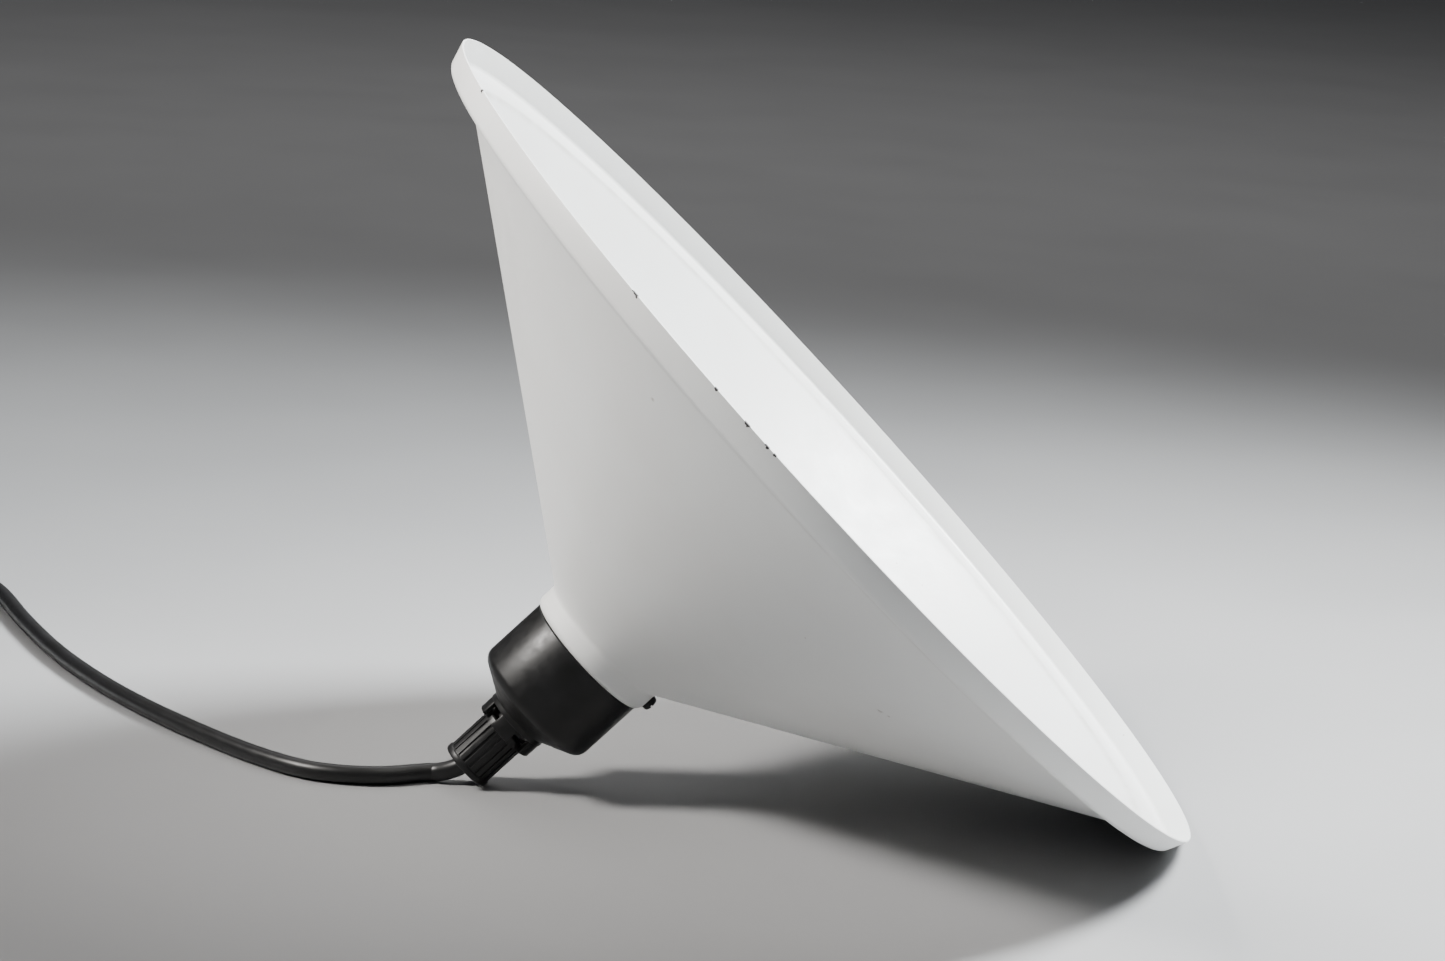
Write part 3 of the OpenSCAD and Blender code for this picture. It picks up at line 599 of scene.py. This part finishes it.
def settle(piece, body, slot, finish, *nodes):
    """Finishes a piece that already lies where it should."""
    take(piece)
    bpy.ops.object.transform_apply(location=True, rotation=True, scale=True)
    bpy.ops.object.shade_smooth_by_angle(angle=SMOOTH_BELOW)
    piece.data.materials.clear()
    piece.data.materials.append(finish)
    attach(piece, body)
    if nodes:
        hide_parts(*nodes)
    print(piece.name, len(piece.data.polygons), "faces")
    return piece


def around(x, y):
    """The angle of a place round the upright axis, in degrees from 0 to 360."""
    return math.degrees(math.atan2(y, x)) % 360


# %% [markdown]
# ## The shade
# The shade is spun from sheet steel 0.8 mm thick: a low lip round the mouth that leans in a little, a
# narrow ledge behind it, a wide cone, and a short collar that the lampholder clamps. Only the outer
# surface is drawn. Its folds are beveled one by one, each as round as the real fold, and a Solidify
# modifier then gives the sheet its thickness on the inside. A fold is told by its radius, its height,
# how wide it is rounded and in how many steps.

# %% The shade
LIP_HEIGHT, LIP_BACK = 8.5, 177
LEDGE_INNER, LEDGE_HEIGHT = 165.5, 9.5
COLLAR_RADIUS, COLLAR_FOOT, COLLAR_TOP = 25.2, 26.4, 111.5
CONE_TOP, COLLAR_START, HOLE_RADIUS = 102.5, 103.7, 19.78
SHEET = 0.8
CONE_BANDS = 12
ON_THE_RING = 0.02 * MM
FOLDS = [
    (LIP_BACK, LIP_HEIGHT, 1.8, 5), (LEDGE_INNER, LEDGE_HEIGHT, 0.9, 3), (COLLAR_FOOT, CONE_TOP, 0.7, 2),
    (COLLAR_RADIUS, COLLAR_START, 0.6, 2), (COLLAR_RADIUS, COLLAR_TOP, 2.4, 6),
]


def ring_edges(piece, radius, height):
    """A test for the edges of the ring at this radius and height."""
    def near(end):
        """Whether one end of an edge is on the ring."""
        off = math.hypot(end.x, end.y) - radius * MM
        return abs(off) < ON_THE_RING and abs(end.z - height * MM) < ON_THE_RING

    return lambda edge: all(near(end) for end in ends(piece, edge))


def soften(piece, radius, height, width, segments):
    """Rounds one ring of edges."""
    found = pick(piece, "EDGE", ring_edges(piece, radius, height))
    bpy.ops.mesh.bevel(offset=width * MM, segments=segments, affect="EDGES")
    done()
    return found


def band(first, last, i):
    """The i-th of the values that divide the way from first to last into the cone's bands."""
    return first + (last - first) * i / CONE_BANDS


cone = [
    (band(LEDGE_INNER, COLLAR_FOOT, i), band(LEDGE_HEIGHT, CONE_TOP, i)) for i in range(CONE_BANDS + 1)
]
profile = [
    (LIP_RADIUS, 0), (LIP_BACK, LIP_HEIGHT), *cone,
    (COLLAR_RADIUS, COLLAR_START), (COLLAR_RADIUS, COLLAR_TOP), (HOLE_RADIUS, COLLAR_TOP),
]
shade = spin(outline("shade_skin", profile, closed=False), steps=288)
for fold in FOLDS:
    print("fold of", soften(shade, *fold), "edges rounded")
face_outwards(shade, min(shade.data.polygons, key=lambda f: f.center.z))
use(shade, "SOLIDIFY", thickness=SHEET * MM, offset=-1, use_even_offset=True)
ease(shade, 0.25, 2, 60)
place(shade, "shade", "white_lacquer", white_lacquer, "shade")

# %% [markdown]
# ## The small screw on the collar
# A pan-head screw sits on the lower side of the collar. A cylinder is its start; the head's crown is
# beveled round, and the slot is cut by pushing in a strip of the top face.

# %% The collar screw
SCREW_HEIGHT, SCREW_FACE, HEAD_HIGH, HEAD_RADIUS = 107.5, 25.3, 2.4, 2.7
SHANK_RADIUS, SHANK_END = 1.4, 23.5
CROWN, SLOT_WIDE, SLOT_DEEP = 1.1, 0.9, 0.9
HEAD_SIDES, CROWN_STEPS, LOOKS_UP = 40, 5, 0.35


def round_bar(name, radius, low, high, sides=32):
    """A cylinder on the upright axis, from one height to another."""
    let_go()
    bpy.ops.mesh.primitive_cylinder_add(
        vertices=sides, radius=radius * MM, depth=(high - low) * MM, location=(0, 0, (low + high) / 2 * MM)
    )
    bar = bpy.context.object
    bar.name = name
    bpy.ops.object.transform_apply(location=True)
    return bar


def slotted_head(name, radius, height, crown, slot_wide, slot_deep):
    """A round head with a rounded crown and a straight slot, standing on the origin."""
    head = round_bar(name, radius, 0, height, HEAD_SIDES)
    pick(head, "EDGE", lambda e: all(end.z > height / 2 * MM for end in ends(head, e)))
    bpy.ops.mesh.bevel(offset=crown * MM, segments=CROWN_STEPS, affect="EDGES")
    for side in (-1, 1):
        bpy.ops.mesh.select_all(action="SELECT")
        bpy.ops.mesh.bisect(plane_co=(side * slot_wide / 2 * MM, 0, 0), plane_no=(1, 0, 0))
    done()
    pick(head, "FACE", lambda f: f.normal.z > LOOKS_UP and abs(f.center.x) < slot_wide / 2 * MM)
    bpy.ops.mesh.extrude_region_move(TRANSFORM_OT_translate={"value": (0, 0, -slot_deep * MM)})
    done()
    return head


def together(*pieces):
    """Joins pieces into the first one."""
    take(*pieces)
    bpy.ops.object.join()
    return pieces[0]


collar_screw = slotted_head("collar_screw", HEAD_RADIUS, HEAD_HIGH, CROWN, SLOT_WIDE, SLOT_DEEP)
collar_screw.location.z = SCREW_FACE * MM
shank = round_bar("screw_shank", SHANK_RADIUS, SHANK_END, SCREW_FACE + 0.2)
collar_screw = together(collar_screw, shank)
take(collar_screw)
bpy.ops.object.transform_apply(location=True)
point_left = Matrix.Rotation(-math.pi / 2, 4, "Y")
collar_screw.matrix_world = Matrix.Translation((0, 0, SCREW_HEIGHT * MM)) @ point_left
place(collar_screw, "shade_screw", "black_steel", black_steel, "shade_screw")

# %% [markdown]
# ## The lampholder's cap
# The cap is moulded in black plastic: a straight side, a rounded shoulder, a sloping back and a short
# boss. Five lugs stand on the boss round the cord grip. One lug is spun from a small square, through
# 40 degrees only, and copied round.

# %% The cap and its five lugs
CAP_RADIUS, CAP_FOOT, CAP_SIDE_TOP, CAP_ROUND = 23.8, 111.6, 134.1, 4
CAP_BACK, BOSS_RADIUS, BOSS_TOP, NIPPLE_RADIUS = 143.1, 11.7, 145.1, 5.05
LUGS, LUG_ANGLE, LUG_STEPS = 5, 40, 8
LUG_INNER, LUG_OUTER, LUG_LOW, LUG_TOP = 9.8, 11.5, BOSS_TOP - 0.4, BOSS_TOP + 5.3
CAP_INSIDE = [
    (NIPPLE_RADIUS, BOSS_TOP), (NIPPLE_RADIUS, CAP_BACK - 4), (10.7, CAP_BACK - 4), (17.8, 135.1),
    (21.8, 133.1), (21.8, 118.9), (19.75, 118.9), (19.75, CAP_FOOT),
]


def quarter(centre, radius, first, last, steps):
    """Points of an arc in an outline, angles in degrees from the outward direction."""
    turns = [math.radians(first + (last - first) * i / steps) for i in range(steps + 1)]
    return [(centre[0] + radius * math.cos(a), centre[1] + radius * math.sin(a)) for a in turns]


cap = spin(outline("cap", [
    (CAP_RADIUS, CAP_FOOT), *quarter((CAP_RADIUS - CAP_ROUND, CAP_SIDE_TOP), CAP_ROUND, 0, 60, 6),
    (BOSS_RADIUS, CAP_BACK), (BOSS_RADIUS, BOSS_TOP), *CAP_INSIDE,
]), steps=128)
ease(cap, 0.35, 3, 25)
lugs = []
for i in range(LUGS):
    lug = outline(f"lug_{i}", [
        (LUG_INNER, LUG_LOW), (LUG_OUTER, LUG_LOW), (LUG_OUTER, LUG_TOP), (LUG_INNER, LUG_TOP),
    ])
    pick(lug, "VERT")
    bpy.ops.mesh.edge_face_add()
    done()
    spin(lug, steps=LUG_STEPS, angle=LUG_ANGLE)
    ease(lug, 0.3, 3, 40)
    lug.rotation_euler.z = math.radians(180 + 360 * i / LUGS - LUG_ANGLE / 2)
    lugs.append(lug)
cap = together(cap, *lugs)
place(cap, "holder", "black_plastic", black_plastic, "holder_cap")

# %% [markdown]
# ## The ribbed nut
# The nut that squeezes the flex has twenty ribs. It is turned smooth first. The faces between the ribs
# are then pushed in by half a millimetre with Inset, and all edges are rounded.

# %% The cord-grip nut
NUT_FOOT, NUT_TOP, NUT_RADIUS, NUT_LIP = 148.1, 168.6, 8.8, 9.2
RIBS, RIB_DEEP, RIB_START, RIB_END = 20, 0.5, NUT_FOOT + 3.2, NUT_TOP - 2.7
COLUMNS, GAP_COLUMNS, GAP_INSET = 8, 3, 0.02
NUT_INSIDE = [(6.08, NUT_FOOT), (6.08, 157.48), (4.33, 160.48), (4.33, 161.48), (6.4, NUT_TOP)]
nut = spin(outline("nut", [
    *NUT_INSIDE, *quarter((NUT_LIP - 0.5, NUT_TOP - 0.5), 0.5, 90, 0, 4),
    (NUT_LIP, NUT_TOP - 2), (NUT_RADIUS, NUT_TOP - 2.4), (NUT_RADIUS, NUT_TOP - 2.6),
    (NUT_RADIUS, NUT_FOOT + 3), (NUT_RADIUS, NUT_FOOT + 0.6), (NUT_RADIUS - 0.6, NUT_FOOT),
]), steps=RIBS * COLUMNS)


def between_ribs(face):
    """Three columns of faces in every eight lie between two ribs."""
    outside = math.hypot(face.center.x, face.center.y) > (NUT_RADIUS - 0.2) * MM
    column = int(around(face.center.x, face.center.y) / 360 * RIBS * COLUMNS) % COLUMNS
    return outside and RIB_START < face.center.z / MM < RIB_END and column < GAP_COLUMNS


print("faces between the ribs:", pick(nut, "FACE", between_ribs))
bpy.ops.mesh.inset(thickness=GAP_INSET * MM, depth=-RIB_DEEP * MM, use_even_offset=True)
done()
ease(nut, 0.12, 2, 28)
place(nut, "nut", "black_plastic", black_plastic, "grip_nut")

# %% [markdown]
# ## Threads
# A thread is an outline one pitch high, wound up with a Screw modifier. Bisect then trims both ends
# flat. The brass shell for the bulb is thin sheet, so its thread shows inside as well: Solidify gives
# it its wall. The holder's skirt is a thick tube whose thread is only on the outside.

# %% Wind a thread
THREAD_STEPS = 72


def wind(line, pitch, turns, **more):
    """Winds an outline up round the axis."""
    return use(
        line, "SCREW", angle=2 * math.pi, screw_offset=pitch * MM, iterations=turns, steps=THREAD_STEPS,
        render_steps=THREAD_STEPS, axis="Z", **more,
    )


def wound(name, wave, pitch, low, high):
    """A thread whose outline (radius, share of the pitch) repeats every pitch, cut flat at low and high."""
    start = low - pitch
    line = outline(name, [(radius, start + share * pitch) for radius, share in wave], closed=False)
    turns = math.ceil((high - start) / pitch) + 1
    wind(line, pitch, turns, use_merge_vertices=True, merge_threshold=WELD)
    pick(line, "VERT")
    bpy.ops.mesh.remove_doubles(threshold=WELD)
    bpy.ops.mesh.select_all(action="SELECT")
    bpy.ops.mesh.bisect(plane_co=(0, 0, low * MM), plane_no=(0, 0, 1), clear_inner=True)
    bpy.ops.mesh.select_all(action="SELECT")
    bpy.ops.mesh.bisect(plane_co=(0, 0, high * MM), plane_no=(0, 0, 1), clear_outer=True)
    bpy.ops.mesh.select_all(action="SELECT")
    bpy.ops.mesh.normals_make_consistent(inside=False)
    done()
    face_outwards(line, line.data.polygons[len(line.data.polygons) // 2])
    return line


# %% The brass shell and the skirt
SHELL_LOW, SHELL_HIGH, SHELL_RADIUS, SHELL_WALL = 87.9, 107.9, 13.9, 0.5
BULB_PITCH, BULB_WAVE, WAVE_STEPS = 3.629, 0.55, 12
wave = [
    (SHELL_RADIUS - BULB_WAVE + BULB_WAVE * math.cos(2 * math.pi * i / WAVE_STEPS), i / WAVE_STEPS)
    for i in range(WAVE_STEPS + 1)
]
shell = wound("brass_shell", wave, BULB_PITCH, SHELL_LOW, SHELL_HIGH)
use(shell, "SOLIDIFY", thickness=SHELL_WALL * MM, offset=-1)
place(shell, "holder", "brass", brass, "screw_shell")

SKIRT_LOW, SKIRT_HIGH, SKIRT_RADIUS, SKIRT_INNER = 79, 118.6, 19.7, 17.7
SKIRT_PITCH, SKIRT_DEEP, SKIRT_SLOPE = 2.5, 0.7, 0.5
THREAD_LOW, THREAD_HIGH, THREAD_TURNS = 81.6, 104, 8
valley = SKIRT_RADIUS - SKIRT_DEEP
skirt = spin(outline("skirt", [
    (SKIRT_INNER, SKIRT_LOW), (SKIRT_RADIUS - SKIRT_SLOPE, SKIRT_LOW),
    (SKIRT_RADIUS, SKIRT_LOW + SKIRT_SLOPE), (SKIRT_RADIUS, THREAD_LOW),
    (valley, THREAD_LOW + SKIRT_SLOPE), (valley, THREAD_HIGH),
    (SKIRT_RADIUS, THREAD_HIGH + SKIRT_SLOPE), (SKIRT_RADIUS, SKIRT_HIGH), (SKIRT_INNER, SKIRT_HIGH),
]), steps=96)
ease(skirt, 0.2, 2, 40)
ridge = outline("thread", [
    (valley - 0.2, THREAD_LOW), (SKIRT_RADIUS, THREAD_LOW + 0.4),
    (SKIRT_RADIUS, THREAD_LOW + 1.4), (valley - 0.2, THREAD_LOW + 1.8),
])
wind(ridge, SKIRT_PITCH, THREAD_TURNS)
pick(ridge, "EDGE")
bpy.ops.mesh.remove_doubles(threshold=WELD)
bpy.ops.mesh.fill_holes(sides=4)
bpy.ops.mesh.select_all(action="SELECT")
bpy.ops.mesh.normals_make_consistent(inside=False)
done()
skirt = together(skirt, ridge)
place(skirt, "holder", "black_plastic", black_plastic, "holder_skirt")

# %% [markdown]
# ## The ring inside the shade
# The ring clamps the collar against the cap. Twelve lugs on its open side are there for the fingers.

# %% The shade ring
RING_RADIUS, RING_BORE, RING_LOW, RING_HIGH = 23.2, 19.78, 100.5, 109.5
RING_LUGS, RING_LUG_HIGH, RING_LUG_INSET, LOOKS_DOWN = 12, 3, 0.4, -0.9
ring = spin(outline("ring", [
    (RING_BORE, RING_LOW), (RING_RADIUS, RING_LOW), (RING_RADIUS, RING_HIGH), (RING_BORE, RING_HIGH),
]), steps=RING_LUGS * 10)


def under_a_lug(face):
    """A lug takes half of each twelfth of the ring's open side."""
    share = around(face.center.x, face.center.y) % (360 / RING_LUGS)
    return face.normal.z < LOOKS_DOWN and share < 180 / RING_LUGS


print("faces under the lugs:", pick(ring, "FACE", under_a_lug))
bpy.ops.mesh.inset(thickness=RING_LUG_INSET * MM, depth=RING_LUG_HIGH * MM)
done()
ease(ring, 0.25, 2, 40)
place(ring, "ring", "black_plastic", black_plastic, "shade_ring")

# %% [markdown]
# ## The ceiling cup
# At the flex's far end a plain black cup covers the ceiling connection. It lies on its slope. A gland
# in its neck holds the flex.

# %% The cup and its gland
CUP_WALL, CUP_WALL_ACROSS, CUP_HOLE = 2, 2.236, 6.1
GLAND_OUTLINE = [(3.35, 45), (5.9, 45), (5.9, 57.6), (5.6, 58), (3.35, 58)]
FLANGE_RADIUS, FLANGE_LOW, FLANGE_TOP = 8.6, 45, 48
mouth_at = Matrix.Translation(Vector((CUP_X, CUP_MOUTH_Y, CUP_MOUTH_Z)) * MM)
CUP_DOWN = mouth_at @ Matrix.Rotation(-(math.pi / 2 + CUP_LEAN), 4, "X")
cup = spin(outline("cup", [
    (CUP_RADIUS, 0), (CUP_NECK, CUP_HIGH), (CUP_HOLE, CUP_HIGH), (CUP_HOLE, CUP_HIGH - CUP_WALL),
    (CUP_NECK + 1 - CUP_WALL_ACROSS, CUP_HIGH - CUP_WALL), (CUP_RADIUS - CUP_WALL_ACROSS, 0),
]), steps=128)
ease(cup, 0.5, 3, 30)
cup.matrix_world = CUP_DOWN
settle(cup, "holder", "black_plastic", black_plastic, "ceiling_cup")
gland_body = spin(outline("gland", GLAND_OUTLINE), steps=64)
ease(gland_body, 0.3, 3, 40)
flange = round_bar("flange", FLANGE_RADIUS, FLANGE_LOW, FLANGE_TOP, 6)
flange.rotation_euler.z = math.radians(30)
bpy.ops.object.transform_apply(rotation=True)
ease(flange, 0.4, 3, 40)
gland = together(gland_body, flange)
gland.matrix_world = CUP_DOWN
settle(gland, "holder", "black_plastic", black_plastic, "cup_gland")

# %% [markdown]
# ## Pieces that keep the model's own shape
# The small parts inside the holder and the cup have straight faces and are already right, so they
# only get their finishes.

# %% Dress the model's own pieces
CARRIED = {
    "contact_block": cream_plastic, "terminal_block": cream_plastic,
    "centre_contact": brass, "live_strap": brass, "side_contact": brass,
    "live_terminal": brass, "neutral_terminal": brass,
    "ring_washer": zinc_steel, "block_rivets": zinc_steel,
    "terminal_screws": zinc_steel, "block_screws": zinc_steel,
    "grip_base": black_plastic, "grip_collet": black_plastic, "cup_screw": black_plastic,
    "live_core": brown_core, "neutral_core": blue_core, "tail_cores": two_cores(),
}
for name, finish in CARRIED.items():
    for slot in frame["nodes"][name].material_slots:
        slot.material = finish
print(len(CARRIED), "pieces dressed")

# %% [markdown]
# Last, the scene is brought up to date and nothing is left selected.

# %% Bring the scene up to date
bpy.context.view_layer.update()
let_go()
